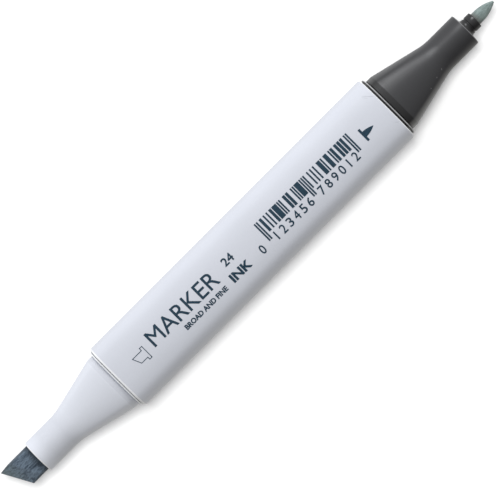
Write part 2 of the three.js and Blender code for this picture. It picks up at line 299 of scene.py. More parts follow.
class Shader(NodeMaker):
    """A material's nodes, with patterns in object coordinates and in millimetres."""

    def __init__(self, name, **surface):
        self.material = bpy.data.materials.new(name)
        self.material.use_nodes = True
        super().__init__(self.material.node_tree)
        self.surface = self.tree.nodes["Principled BSDF"]
        for socket, value in surface.items():
            self.surface.inputs[socket.replace("_", " ")].default_value = value
        self.place = self.node("ShaderNodeTexCoord").outputs["Object"]
        split = self.node("ShaderNodeSeparateXYZ", {0: self.stretched((1, 1, 1))})
        self.x, self.y, self.z = split.outputs

    def link(self, output, socket):
        self.tree.links.new(output, self.surface.inputs[socket])

    def stretched(self, scale, turn=(0, 0, 0), shift=(0, 0, 0)):
        """Object coordinates in cells of 1 / scale millimetres along each axis."""
        inputs = {
            "Vector": self.place,
            "Location": shift,
            "Rotation": turn,
            "Scale": [value / MM for value in scale],
        }
        return self.node("ShaderNodeMapping", inputs).outputs["Vector"]

    def noise(self, scale, detail=2.0, roughness=0.5, turn=(0, 0, 0), distortion=0.0):
        inputs = {
            "Vector": self.stretched(scale, turn),
            "Scale": 1.0,
            "Detail": detail,
            "Roughness": roughness,
            "Distortion": distortion,
        }
        return self.node("ShaderNodeTexNoise", inputs).outputs["Fac"]

    def near(self, value, middle, half, soft):
        """1 where a value is within half of a middle, fading to 0 over a soft edge."""
        away = self.math("ABSOLUTE", self.math("SUBTRACT", value, middle))
        return self.ranged(away, half, half + soft, 1.0, 0.0)

    def scratch(self, x, y, angle, length, width):
        """A hairline on the top face, through (x, y) and at an angle to the X axis."""
        turn = math.radians(angle)
        across = (-math.sin(turn), math.cos(turn), 0)
        along = (math.cos(turn), math.sin(turn), 0)
        place = self.stretched((1, 1, 1), shift=(-x, -y, 0))
        masks = []
        for axis, half, soft in ((across, width / 2, width / 2), (along, length / 2, length / 4)):
            masks.append(self.near(self.dot(place, axis), 0.0, half, soft))
        line = self.math("MULTIPLY", *masks)
        return self.math("MULTIPLY", line, self.ranged(self.z, AXIS_HEIGHT, AXIS_HEIGHT + 1))

    def bump(self, height, distance, under=None):
        inputs = {"Height": height, "Distance": distance * MM, "Strength": 1.0}
        if under is not None:
            inputs["Normal"] = under
        return self.node("ShaderNodeBump", inputs).outputs["Normal"]


def shade(color, factor):
    return tuple(value * factor for value in color)


def moulded_plastic(
    name, color, roughness, grain, mottle=0.02, rings=(), scratches=(), scratch_color=None, **surface
):
    """Smooth moulded plastic: slight blotches, an uneven gloss, a fine grain and hairline rubs.

    grain is the depth of its bumps in millimetres, and mottle the strength of its blotches. A ring is a
    painted highlight along an edge or painted shade on a band all round: its least and most distance
    from the middle of the marker, the width over which it fades, and its colour.
    """
    shader = Shader(name, **surface)
    blotch = shader.noise((0.09, 0.13, 0.13), detail=3)
    specks = shader.noise((1.6, 1.6, 1.6), detail=2)
    tone = shader.math("ADD", shader.math("MULTIPLY", blotch, 0.7), shader.math("MULTIPLY", specks, 0.3))
    factor = shader.ranged(tone, 0.3, 0.7)
    base = shader.mix(factor, shade(color, 1 - mottle), shade(color, 1 + mottle))
    rubs = shader.noise((0.25, 9, 9), detail=3, roughness=0.6, turn=(0, 0, math.radians(4)))
    uneven = shader.math("ADD", shader.math("MULTIPLY", rubs, 0.5), shader.math("MULTIPLY", blotch, 0.5))
    shader.link(shader.ranged(uneven, 0.3, 0.7, roughness - 0.05, roughness + 0.06), "Roughness")
    fine = shader.noise((5, 5, 5), detail=3, roughness=0.55)
    hairlines = shader.ranged(rubs, 0.62, 0.72)
    normal = shader.bump(hairlines, grain * 0.6, shader.bump(fine, grain))
    distance = shader.math("ABSOLUTE", shader.x)
    # the rings paint highlights on edges and shade on bands
    for start, stop, fade, ring_color in rings:
        inside = shader.near(distance, (start + stop) / 2, (stop - start) / 2, fade)
        painted_share = shader.math("MULTIPLY", inside, shader.ranged(specks, 0.25, 0.5, 0.75, 1.0))
        base = shader.mix(painted_share, base, ring_color)
    mark_color = scratch_color or shade(color, 0.5)
    for mark in scratches:
        line = shader.scratch(*mark)
        base = shader.mix(shader.math("MULTIPLY", line, SCRATCH_SHARE), base, mark_color)
        normal = shader.bump(line, -0.02, normal)
    shader.link(base, "Base Color")
    shader.link(normal, "Normal")
    return shader.material


def felt(name, dark, light, fibres_per_mm, depth, roughness=0.92, tones_and_shade=()):
    """Bonded fibre: strands along the nib, wet and dry patches, and a rough, matted surface.

    A tone is its axis, the distances from the middle of the marker at which it starts and at which
    it is full, its strength and its colour. Some tones are painted shade.
    """
    shader = Shader(name, Roughness=roughness, Sheen_Weight=0.2, Sheen_Roughness=0.6)
    strands = shader.noise((0.5, fibres_per_mm, fibres_per_mm), detail=4, roughness=0.7, distortion=0.5)
    patches = shader.noise((0.55, 1.0, 1.0), detail=4, roughness=0.65, distortion=1.2)
    matted = shader.noise((6, 6, 6), detail=3, roughness=0.7)
    tone = shader.math("ADD", *[shader.math("MULTIPLY", part, 0.5) for part in (strands, patches)])
    base = shader.mix(shader.ranged(tone, 0.4, 0.6), dark, light)
    for axis, start, full, strength, color in tones_and_shade:
        value = shader.math("ABSOLUTE", shader.x if axis == "x" else shader.y)
        base = shader.mix(shader.ranged(value, start, full, 0.0, strength), base, color)
    shader.link(base, "Base Color")
    height = shader.math("ADD", strands, shader.math("MULTIPLY", matted, 0.5))
    shader.link(shader.bump(height, depth), "Normal")
    return shader.material


BARREL_COLOR = (0.665, 0.685, 0.75)
COLLAR_COLOR = (0.735, 0.757, 0.825)
# painted highlight: the pale line on the barrel's end edges, the white collar's flange edge and its
# mouth
PAINTED_EDGE_HIGHLIGHT = (0.95, 0.96, 0.98)
DARK_COLOR = (0.031, 0.031, 0.034)
# painted highlight for the grey collar's flange edge
DARK_PLASTIC_FLANGE_HIGHLIGHT = (0.42, 0.42, 0.425)
# painted highlight for the grey collar's mouth
DARK_PLASTIC_LIP_HIGHLIGHT = (0.16, 0.16, 0.165)
HOLDER_COLOR = (0.014, 0.014, 0.015)
INK_COLOR = (0.014, 0.038, 0.062)

# Scratches on the barrel: x, y, angle, length and width.
SCRATCHES = [(35.5, 4.1, -45, 1.7, 0.09), (34.9, 4.3, -52, 0.9, 0.05), (36.0, -3.4, -38, 0.8, 0.05)]
# Specks of dust on the grey collar, given like the scratches.
DUST = [(45.4, -3.4, 0, 0.12, 0.12), (47.7, -2.7, 30, 0.2, 0.08), (49.5, -2.2, 60, 0.3, 0.08)]
DUST_COLOR = (0.55, 0.55, 0.56)
SCRATCH_SHARE = 0.25  # how much of its colour a scratch gives the surface

# The broad nib: lighter towards its tip, painted shade along its long sides, and darker towards its
# root.
BROAD_TONES_AND_SHADE = [
    ("x", BARREL_END + 25.5, BARREL_END + 28.5, 0.6, (0.15, 0.195, 0.195)),
    # painted shade along the nib's long sides
    ("y", 2.5, 2.95, 0.75, (0.03, 0.045, 0.06)),
    ("x", BARREL_END + 23.4, BARREL_END + 21.6, 0.8, (0.02, 0.03, 0.045)),
]
# painted shade and painted reflection of the dark holder, on the fine nib's root
FINE_PAINTED_SHADE = [("x", BARREL_END + 25.2, BARREL_END + 24.2, 0.8, (0.13, 0.125, 0.12))]


def ring_at(start, stop, color, fade=0.06):
    """A ring of colour given by its distances from the barrel's end; the rings here are painted
    highlights and painted shade.
    """
    return BARREL_END + start, BARREL_END + stop, fade, color


barrel_plastic = moulded_plastic(
    "barrel_plastic", BARREL_COLOR, 0.4, 0.003,
    # painted highlight along the edge of each of the barrel's ends
    rings=[ring_at(-0.42, 0, PAINTED_EDGE_HIGHLIGHT)], scratches=SCRATCHES,
)
white_plastic = moulded_plastic(
    "white_collar_plastic", COLLAR_COLOR, 0.42, 0.003,
    rings=[
        # painted highlight along the flange's edge
        ring_at(0.06, 0.31, PAINTED_EDGE_HIGHLIGHT),
        # painted shade on the band beside the flange
        ring_at(0.5, 1.75, shade(COLLAR_COLOR, 0.9)),
        # painted shade on the neck, fading in and out
        ring_at(14.5, 18.5, shade(COLLAR_COLOR, 0.88), fade=2.5),
        # painted highlight round the mouth's edge
        ring_at(BROAD_COLLAR_END - 0.2, BROAD_COLLAR_END, PAINTED_EDGE_HIGHLIGHT),
    ],
)
grey_plastic = moulded_plastic(
    "grey_collar_plastic", DARK_COLOR, 0.33, 0.004, mottle=0.08,
    rings=[
        # painted highlight along the flange's edge
        ring_at(0.15, 0.29, DARK_PLASTIC_FLANGE_HIGHLIGHT),
        # painted shade on the band beside the flange
        ring_at(0.5, 1.85, shade(DARK_COLOR, 0.45)),
        # painted highlight round the mouth's edge
        ring_at(FINE_COLLAR_END - 0.14, FINE_COLLAR_END, DARK_PLASTIC_LIP_HIGHLIGHT),
    ],
    scratches=DUST, scratch_color=DUST_COLOR,
)
holder_plastic = moulded_plastic("holder_plastic", HOLDER_COLOR, 0.22, 0.003, mottle=0.1)
broad_felt = felt(
    "broad_nib_felt", (0.02, 0.038, 0.062), (0.18, 0.24, 0.31), 2.6, 0.12, tones_and_shade=BROAD_TONES_AND_SHADE
)
fine_felt = felt(
    "fine_nib_felt", (0.15, 0.20, 0.19), (0.28, 0.35, 0.34), 5, 0.03, tones_and_shade=FINE_PAINTED_SHADE
)
core_fibre = felt("reservoir_fibre", (0.45, 0.5, 0.52), (0.65, 0.7, 0.72), 6, 0.05)
film_plastic = moulded_plastic("reservoir_film", (0.75, 0.8, 0.84), 0.2, 0.002, Alpha=0.6)


def ink():
    """Pad-printed ink, a little uneven in how it covers."""
    shader = Shader("print_ink", Roughness=0.5, Specular_IOR_Level=0.2)
    cover = shader.noise((2.2, 2.2, 2.2), detail=4, roughness=0.6)
    thin = shade(INK_COLOR, 1.45)
    shader.link(shader.mix(shader.ranged(cover, 0.35, 0.7), INK_COLOR, thin), "Base Color")
    shader.link(shader.bump(cover, 0.004), "Normal")
    return shader.material


print_ink = ink()


# ---- barrel ----

EDGE_INSET = 0.3  # how far the rounding of the barrel's ends comes in
EDGE_LENGTH = 0.35  # how far it reaches along the barrel
EDGE_STEPS = 9
BORE_BREAK = 0.12  # chamfer round the bore's mouth
RIB_SETBACK = 0.5  # from a spigot's end to the ribs
RIB_CHAMFER = 0.3
RIM_GAPS = {-1: 0.07, 1: 0.32}  # how far each end stops short of the CAD model's, by its collar
RIB_HALF = 0.45
RIB_TIP = FILM_RADIUS + 2 * GAP


def barrel_ring(inset):
    return soft_square(BARREL_HALF, BARREL_FLAT, BARREL_CORNER, inset)


def ribbed_ring():
    """The bore's section with a rib on the middle of each side."""
    ring = barrel_ring(WALL)
    on_rib = np.abs(ring).min(axis=1) < RIB_HALF
    radii = np.hypot(ring[:, 0], ring[:, 1])
    ring[on_rib] *= (RIB_TIP / radii[on_rib])[:, None]
    return ring


def barrel_half(side):
    """The stations from the edge of an end's rounding, round its rim and in to the ribs."""
    rim = BARREL_END - RIM_GAPS[side]
    stations = []
    for angle in np.linspace(math.pi / 2, 0, EDGE_STEPS):
        inset = EDGE_INSET * (1 - math.sin(angle))
        stations.append((rim - EDGE_LENGTH * (1 - math.cos(angle)), barrel_ring(inset)))
    rib_end = BARREL_END - SPIGOT_LENGTH - RIB_SETBACK
    stations += [
        (rim, barrel_ring(WALL - BORE_BREAK)),
        (rim - BORE_BREAK, barrel_ring(WALL)),
        (rib_end, barrel_ring(WALL)),
        (rib_end - RIB_CHAMFER, ribbed_ring()),
    ]
    return [(side * x, ring) for x, ring in stations]


def make_barrel():
    stations = list(reversed(barrel_half(-1))) + barrel_half(1)
    piece = ring_solid("barrel_shell", stations, row_place, closed=True)
    settle(piece, "marker", "barrel_plastic", barrel_plastic, "barrel")


# ---- print on the barrel's top face ----

PRINT_RISE = 0.03
PRINT_REACH = 0.8  # the part of the top face that takes print, as a share of its half width
PRINT_SINK = 0.02  # how far a print's underside lies below the surface
STROKE = 0.14  # line of the broad nib's pictogram
MITRE_LEAST = 0.5  # keeps the points of sharp corners short
SAME_POINT = 0.02  # nearest that two points of an outline may lie


def top_face():
    """The barrel's top outline, as heights z at places y, on the very corners of its rings."""
    ring = barrel_ring(0)
    top = ring[(ring[:, 1] > 0) & (np.abs(ring[:, 0]) < PRINT_REACH * BARREL_HALF)]
    return top[np.argsort(top[:, 0])].T


TOP_Y, TOP_Z = top_face()


def flat_solid(curve):
    """The filled outlines of a flat curve as a closed thin solid, one unit of the curve to 1 mm."""
    curve.dimensions = "2D"
    curve.fill_mode = "BOTH"
    curve.extrude = 1.0
    source = bpy.data.objects.new(curve.name, curve)
    mesh = bmesh.new()
    outlines = source.to_mesh()
    mesh.from_mesh(outlines)
    source.to_mesh_clear()
    bpy.data.objects.remove(source)
    bmesh.ops.remove_doubles(mesh, verts=mesh.verts, dist=1e-4)
    return mesh


def embolden(mesh, spread):
    """Moves a flat solid's outlines outwards, their sides meeting at mitred corners."""
    bmesh.ops.remove_doubles(mesh, verts=mesh.verts, dist=SAME_POINT)
    bmesh.ops.recalc_face_normals(mesh, faces=mesh.faces)
    moved = []
    for vert in mesh.verts:
        sides = [face.normal for face in vert.link_faces if abs(face.normal.z) < 0.5]
        other = min(sides, key=sides[0].dot)
        middle = sides[0] + other
        moved.append(vert.co + middle * spread / max(middle.dot(other), MITRE_LEAST))
    for vert, place in zip(mesh.verts, moved):
        vert.co = place


def text_solid(text, box, spread):
    """Plain lettering, made heavier by a spread, that fills (x from, x to, y from, y to)."""
    curve = bpy.data.curves.new("lettering", "FONT")
    curve.body = text
    curve.resolution_u = 3
    mesh = flat_solid(curve)
    points = np.array([vert.co[:2] for vert in mesh.verts])
    low, size = points.min(axis=0), np.ptp(points, axis=0)
    left, right, bottom, top = box
    scale = (right - left - 2 * spread) / size[0], (top - bottom - 2 * spread) / size[1]
    for vert in mesh.verts:
        vert.co.x = left + spread + (vert.co.x - low[0]) * scale[0]
        vert.co.y = bottom + spread + (vert.co.y - low[1]) * scale[1]
    embolden(mesh, spread)
    return mesh


def shape_solid(*outlines):
    """Filled outlines of (x, y) points. One that lies inside another cuts a hole in it."""
    curve = bpy.data.curves.new("shape", "CURVE")
    for outline in outlines:
        spline = curve.splines.new("POLY")
        spline.points.add(len(outline) - 1)
        for point, (x, y) in zip(spline.points, outline):
            point.co = (x, y, 0, 1)
        spline.use_cyclic_u = True
    return flat_solid(curve)


def inner_outline(outline, stroke):
    """A clockwise outline moved in by a stroke, its sides meeting at mitred corners."""
    moved = []
    for i, point in enumerate(outline):
        before = Vector(point) - Vector(outline[i - 1])
        after = Vector(outline[(i + 1) % len(outline)]) - Vector(point)
        inward = [Vector((side.y, -side.x)).normalized() for side in (before, after)]
        middle = inward[0] + inward[1]
        moved.append(Vector(point) + middle * stroke / middle.dot(inward[0]))
    return moved


def print_piece(name, meshes):
    """Joins flat solids to one print and wraps it on to the barrel's top face."""
    whole = bmesh.new()
    for mesh in meshes:
        data = bpy.data.meshes.new(name)
        mesh.to_mesh(data)
        mesh.free()
        whole.from_mesh(data)
        bpy.data.meshes.remove(data)
    for y in TOP_Y:
        geometry = whole.verts[:] + whole.edges[:] + whole.faces[:]
        bmesh.ops.bisect_plane(whole, geom=geometry, plane_co=(0, y, 0), plane_no=(0, 1, 0), dist=1e-4)
    bmesh.ops.triangulate(whole, faces=whole.faces)
    for vert in whole.verts:
        x, y, level = vert.co
        lift = PRINT_RISE if level > 0 else -PRINT_SINK
        vert.co = Vector(row_place(x, y, np.interp(y, TOP_Y, TOP_Z) + lift)) * MM
    piece = finish_mesh(name, whole, 60)
    settle(piece, "marker", "print_ink", print_ink)


# A placeholder article number, and the seven modules that each of its digits takes in the left
# half of a bar code, 1 for ink. The right half swaps ink and space, and a leading 0 has no modules.
ARTICLE = "0123456789012"
DIGIT_CODES = [
    "0001101", "0011001", "0010011", "0111101", "0100011",
    "0110001", "0101111", "0111011", "0110111", "0001011",
]
GUARDS = {*range(3), *range(45, 50), *range(92, 95)}  # modules whose bars reach further down
BARS = (2.55, 27.45)  # first and last x of the bars
BAR_TOP, BAR_FOOT, GUARD_FOOT = 2.2, -0.9, -2.2
DIGIT_TOP, DIGIT_FOOT = -1.4, -3.3
FIRST_DIGIT = (-0.1, 1.0)  # from and to, in x, to the left of the bars
DIGIT_STARTS = (4.3, 51.3)  # modules from the first bar to each group of six digits
DIGIT_STEP = 7  # modules to a digit
DIGIT_WIDTH = 1.15
NARROW_DIGITS = {"1": 0.3}
DIGIT_SPREAD = 0.03
BAR_SPREAD = 0.035


def bar_modules():
    """The 95 modules of the bar code, 1 for ink and 0 for a space."""
    left = "".join(DIGIT_CODES[int(digit)] for digit in ARTICLE[1:7])
    right = "".join(DIGIT_CODES[int(digit)] for digit in ARTICLE[7:])
    swapped = right.translate(str.maketrans("01", "10"))
    return "101" + left + "01010" + swapped + "101"


def make_bar_code():
    modules = bar_modules()
    step = (BARS[1] - BARS[0]) / len(modules)
    bars = []
    for run in re.finditer("1+", modules):
        foot = GUARD_FOOT if run.start() in GUARDS else BAR_FOOT
        left = BARS[0] + run.start() * step - BAR_SPREAD
        right = BARS[0] + run.end() * step + BAR_SPREAD
        bars.append(shape_solid([(left, foot), (left, BAR_TOP), (right, BAR_TOP), (right, foot)]))
    print_piece("print_bars", bars)

    digits = [text_solid(ARTICLE[0], (*FIRST_DIGIT, DIGIT_FOOT, DIGIT_TOP), DIGIT_SPREAD)]
    for group, first in zip((ARTICLE[1:7], ARTICLE[7:]), DIGIT_STARTS):
        for place, digit in enumerate(group):
            width = NARROW_DIGITS.get(digit, DIGIT_WIDTH)
            left = BARS[0] + (first + DIGIT_STEP * place) * step + (DIGIT_WIDTH - width) / 2
            box = (left, left + width, DIGIT_FOOT, DIGIT_TOP)
            digits.append(text_solid(digit, box, DIGIT_SPREAD))
    print_piece("print_digits", digits)


# The words: their piece, their text, the box that they fill and how much heavier they are made.
WORDS = [
    ("print_title", "MARKER", (-27.4, -9.6, -1.1, 2.25), 0.02),
    ("print_subtitle", "BROAD AND FINE", (-20.7, -9.55, -3.2, -2.1), 0.055),
    ("print_shade", "24", (-7.0, -4.5, 0.2, 1.95), 0.05),
    ("print_ink_word", "INK", (-7.9, -3.0, -3.2, -1.3), 0.12),
]


def make_words():
    for name, text, box, spread in WORDS:
        print_piece(name, [text_solid(text, box, spread)])


# The pictograms: a nib on a base plate at each end.
BROAD_SIGN = [
    (-32.3, 0.45), (-29.85, 0.45), (-29.85, 1.0), (-29.1, 1.0),
    (-29.1, -2.0), (-29.85, -2.0), (-29.85, -1.45), (-31.45, -1.45),
]
SIGN_MIDDLE = -0.55  # y of the fine one's axis
SIGN_BASE = (29.45, 29.95)  # its base plate's two faces
SIGN_BASE_HALF = 1.45
SIGN_NIB_HALF = 0.62
SIGN_REACH = 2.4


def make_pictograms():
    """A broad nib in outline at the broad end and a pointed one, filled, at the fine end."""
    print_piece("print_broad_sign", [shape_solid(BROAD_SIGN, inner_outline(BROAD_SIGN, STROKE))])
    back, front = SIGN_BASE
    upper = [(back, SIGN_BASE_HALF), (front, SIGN_BASE_HALF), (front, SIGN_NIB_HALF)]
    for share in np.linspace(0.1, 1, 12):
        upper.append((front + SIGN_REACH * share, SIGN_NIB_HALF * (1 - share**2)))
    lower = [(x, -y) for x, y in reversed(upper[:-1])]
    outline = [(x, SIGN_MIDDLE + y) for x, y in upper + lower]
    print_piece("print_fine_sign", [shape_solid(outline)])


# ---- collars ----

SLOPE = math.atan(TAPER)
TAPER_END = TAPER_START + (BAND_HALF - NECK_RADIUS) / TAPER
FILLET_START = TAPER_END - FILLET_TANGENT * math.cos(SLOPE)
FILLET_END = TAPER_END + FILLET_TANGENT
FILLET_RADIUS = FILLET_TANGENT / math.tan(SLOPE / 2)


def collar_half(s):
    """Half the collar's width across its flats, from its band to its neck."""
    if s <= FILLET_START:
        return BAND_HALF - TAPER * (s - TAPER_START)
    short = max(FILLET_END - s, 0)
    return NECK_RADIUS + FILLET_RADIUS - math.sqrt(FILLET_RADIUS**2 - short**2)


def soft_collar(half, inset=0.0):
    """The square section of a collar's flared part."""
    return soft_square(half, COLLAR_FACE * half, BAND_CORNER, inset, COLLAR_CROWN * half, COLLAR_TURN)


def collar_ring(s, inset=0.0):
    """The collar's section: square at the band, round at the neck."""
    half = collar_half(s)
    along = min(max((s - TAPER_START) / (FILLET_END - TAPER_START), 0), 1)
    roundness = along**3
    return soft_collar(half, inset) * (1 - roundness) + circle(half - inset) * roundness


SPIGOT_CHAMFER = (0.6, 0.3)  # its length and how far it comes in
FLANGE_INSET = 0.48
# The flange's rounded outer edge: distances from the barrel's end, and how far each comes in.
FLANGE_EDGE = [(0.22, 0), (0.27, 0.02), (0.31, 0.07), (0.33, 0.14)]
GROOVE = 0.2  # depth of the groove where the band leaves the flange
GROOVE_START, GROOVE_END = 0.42, 0.52
BAND_START = 0.64
BAND_STEPS = 12
TAPER_STEPS = 60
EDGE_BREAK = 0.05
BROAD_LIP = 0.22  # radius of the rounded edge round each mouth
FINE_LIP = 0.14
LIP_STEPS = 7


def collar_outside(end, lip):
    """The outside of a collar, from its spigot's end to its mouth."""
    def spigot(inset):
        return barrel_ring(WALL + GAP + inset)

    def flange(inset):
        return barrel_ring(FLANGE_INSET + inset)

    def band(inset):
        return soft_collar(BAND_HALF, inset)

    stations = [
        (-SPIGOT_LENGTH, spigot(SPIGOT_CHAMFER[1])),
        (-SPIGOT_LENGTH + SPIGOT_CHAMFER[0], spigot(0)),
        (GAP, spigot(0)),
        (GAP, flange(EDGE_BREAK)),
        (GAP + EDGE_BREAK, flange(0)),
    ]
    stations += [(s, flange(inset)) for s, inset in FLANGE_EDGE]
    stations += [
        (FLANGE_EDGE[-1][0], band(EDGE_BREAK)),
        (GROOVE_START, band(GROOVE)),
        (GROOVE_END, band(GROOVE)),
        (BAND_START, band(0)),
    ]
    band_places = np.linspace(BAND_START + 0.06, TAPER_START - 0.15, BAND_STEPS)
    stations += [(s, band(0)) for s in band_places]
    stations += [(s, collar_ring(s)) for s in np.linspace(TAPER_START, FILLET_END, TAPER_STEPS)]
    stations.append(((FILLET_END + end - lip) / 2, collar_ring(end)))
    for angle in np.linspace(0, math.pi / 2, LIP_STEPS):
        inset = lip * (1 - math.cos(angle))
        stations.append((end - lip * (1 - math.sin(angle)), collar_ring(end, inset)))
    return stations


CAVITY_RADIUS = FILM_RADIUS + 3 * GAP
BROAD_CAVITY_END = 11.2
FINE_CAVITY_END = 12.4
TAPER_WALL = 0.85
WEB_END = 13.4  # the web's face towards the mouth; the other one closes the cavity
WEB_HOLE = 2.03
FINE_BORE = 2.88
BROAD_NIB = (6.16, 3.4, 0.9)  # width, thickness and corner radius
BROAD_MOUTH = 3.3
BROAD_MOUTH_DEPTH = 1.2
VENT_HALF = 0.5  # half an air channel's width
VENT_REACH = 2.35  # its floor's distance from the axis


def slot_ring():
    """The broad nib's slot, with an air channel above and below."""
    ring = round_box(*[size + 2 * GAP for size in BROAD_NIB[:2]], BROAD_NIB[2] + GAP)
    vent = (np.abs(ring[:, 0]) < VENT_HALF) & (np.abs(ring[:, 1]) > BROAD_NIB[1] / 2)
    ring[vent] *= (VENT_REACH / np.abs(ring[vent, 1]))[:, None]
    return ring


def make_broad_collar():
    end = BROAD_COLLAR_END
    mouth = end - BROAD_MOUTH_DEPTH
    inside = [
        (end, circle(BROAD_MOUTH + 0.08)),
        (end - 0.08, circle(BROAD_MOUTH)),
        (mouth, circle(BROAD_MOUTH)),
        (mouth, slot_ring()),
        (BROAD_CAVITY_END, slot_ring()),
        (BROAD_CAVITY_END, circle(collar_half(BROAD_CAVITY_END) - TAPER_WALL)),
        (TAPER_START, circle(CAVITY_RADIUS)),
        (-SPIGOT_LENGTH, circle(CAVITY_RADIUS)),
    ]
    stations = collar_outside(end, BROAD_LIP) + inside
    piece = ring_solid("broad_collar_shell", stations, end_place(-1), closed=True)
    settle(piece, "marker", "white_collar_plastic", white_plastic, "broad_collar")


def make_fine_collar():
    end = FINE_COLLAR_END
    inside = [
        (end, circle(FINE_BORE + 0.1)),
        (end - 0.1, circle(FINE_BORE)),
        (WEB_END, circle(FINE_BORE)),
        (WEB_END, circle(WEB_HOLE)),
        (FINE_CAVITY_END, circle(WEB_HOLE)),
        (FINE_CAVITY_END, circle(collar_half(FINE_CAVITY_END) - TAPER_WALL)),
        (TAPER_START, circle(CAVITY_RADIUS)),
        (-SPIGOT_LENGTH, circle(CAVITY_RADIUS)),
    ]
    stations = collar_outside(end, FINE_LIP) + inside
    piece = ring_solid("fine_collar_shell", stations, end_place(1), closed=True)
    settle(piece, "marker", "grey_collar_plastic", grey_plastic, "fine_collar")


# ---- fine nib's holder ----

FINE_NIB_RADIUS = 1.32
HOLDER_TAIL = 2.0  # where its inner end is
TAIL_CHAMFER = (0.6, 0.3)  # its length and how far it comes in
HOLDER_FLANGE = 2.45
HOLDER_NOSE = 1.79
HOLDER_GROOVE = 1.66
HOLDER_VENT_FLOOR = 2.2
HOLDER_VENT_HALF = 0.4
FILLET_STEPS = 9
# The groove round the nose: distances from the collar's mouth, and radii.
NOSE_GROOVE = [
    (0.9, HOLDER_NOSE),
    (1.0, HOLDER_GROOVE),
    (1.2, HOLDER_GROOVE),
    (1.27, HOLDER_NOSE - 0.03),
    (1.34, HOLDER_NOSE),
]


def vented(radius):
    """A circle with four air grooves down to the vents' floor."""
    ring = circle(radius)
    if radius <= HOLDER_VENT_FLOOR:
        return ring
    diagonal = np.abs(np.abs(ring[:, 0]) - np.abs(ring[:, 1])) / math.sqrt(2)
    grooved = diagonal < HOLDER_VENT_HALF
    ring[grooved] *= HOLDER_VENT_FLOOR / radius
    return ring


def make_holder():
    face = FINE_COLLAR_END
    shank, tail = FINE_BORE - GAP, WEB_HOLE - GAP
    bore = FINE_NIB_RADIUS + GAP
    fillet = HOLDER_FLANGE - HOLDER_NOSE
    stations = [
        (HOLDER_TAIL, circle(tail - TAIL_CHAMFER[1])),
        (HOLDER_TAIL + TAIL_CHAMFER[0], circle(tail)),
        (WEB_END + GAP, circle(tail)),
        (WEB_END + GAP, vented(shank)),
        (face - 0.1, vented(shank)),
        (face - 0.03, vented(shank - 0.03)),
        (face, vented(shank - 0.1)),
    ]
    for angle in np.linspace(0, math.pi / 2, FILLET_STEPS):
        radius = HOLDER_FLANGE - fillet * math.sin(angle)
        stations.append((face + fillet * (1 - math.cos(angle)), circle(radius)))
    stations += [(face + s, circle(radius)) for s, radius in NOSE_GROOVE]
    stations += [
        (HOLDER_END - 0.15, circle(HOLDER_NOSE)),
        (HOLDER_END - 0.05, circle(HOLDER_NOSE - 0.04)),
        (HOLDER_END, circle(HOLDER_NOSE - 0.15)),
        (HOLDER_END, circle(bore + 0.06)),
        (HOLDER_END - 0.06, circle(bore)),
        (HOLDER_TAIL, circle(bore)),
    ]
    piece = ring_solid("fine_nib_holder_bush", stations, end_place(1), closed=True)
    settle(piece, "marker", "holder_plastic", holder_plastic, "fine_nib_holder")


# ---- nibs ----

OGIVE_START = 24.9
OGIVE_RADIUS = 8.3
TIP_LENGTH = 0.272  # of the rounding at the end of the point
TIP_STEPS = 9
TIP_FACE = 0.02  # the last ring, as a share of the rounding's radius


def ogive_radius(s):
    """The fine nib's radius at a place on its point."""
    drop = OGIVE_RADIUS - math.sqrt(OGIVE_RADIUS**2 - (s - OGIVE_START) ** 2)
    return FINE_NIB_RADIUS - drop


def make_fine_nib():
    stations = [
        (NIB_ROOT, circle(FINE_NIB_RADIUS - 0.3)),
        (NIB_ROOT + 0.15, circle(FINE_NIB_RADIUS - 0.09)),
        (NIB_ROOT + 0.5, circle(FINE_NIB_RADIUS)),
    ]
    stations += [(s, circle(FINE_NIB_RADIUS)) for s in np.linspace(NIB_ROOT + 2, OGIVE_START, 24)]
    shoulder = TIP_END - TIP_LENGTH
    stations += [(s, circle(ogive_radius(s))) for s in np.linspace(OGIVE_START, shoulder, 28)[1:]]
    last = ogive_radius(shoulder)
    for angle in np.linspace(0, math.pi / 2, TIP_STEPS)[1:-1]:
        stations.append((shoulder + TIP_LENGTH * math.sin(angle), circle(last * math.cos(angle))))
    stations.append((TIP_END, circle(last * TIP_FACE)))
    piece = ring_solid("fine_nib_tip", stations, end_place(1))
    settle(piece, "fine_nib", "fine_nib_felt", fine_felt, "fine_nib")


ROOT_CHAMFER = (0.3, 0.25)  # its length and how far it comes in
SHORT_SIDE_REACH = 25.9  # where the slanted end meets the nib's short side
SIDE_TAPER = (2.2, 0.25)  # length and depth of the taper of its long side, at the tip
BEVEL_LENGTH = 2.3
EDGE_THICKNESS = 1.3  # what the bevels leave of the nib's thickness
EDGE_ROUNDING = 0.14
ROUNDED_ABOVE = math.radians(14)  # edges that turn by more than this are rounded


def cut(mesh, point, normal):
    """Cuts away what lies past a plane, and closes the cut."""
    geometry = mesh.verts[:] + mesh.edges[:] + mesh.faces[:]
    sliced = bmesh.ops.bisect_plane(
        mesh, geom=geometry, plane_co=point, plane_no=normal, clear_outer=True, dist=1e-7
    )
    edges = [item for item in sliced["geom_cut"] if isinstance(item, bmesh.types.BMEdge)]
    bmesh.ops.contextual_create(mesh, geom=edges)


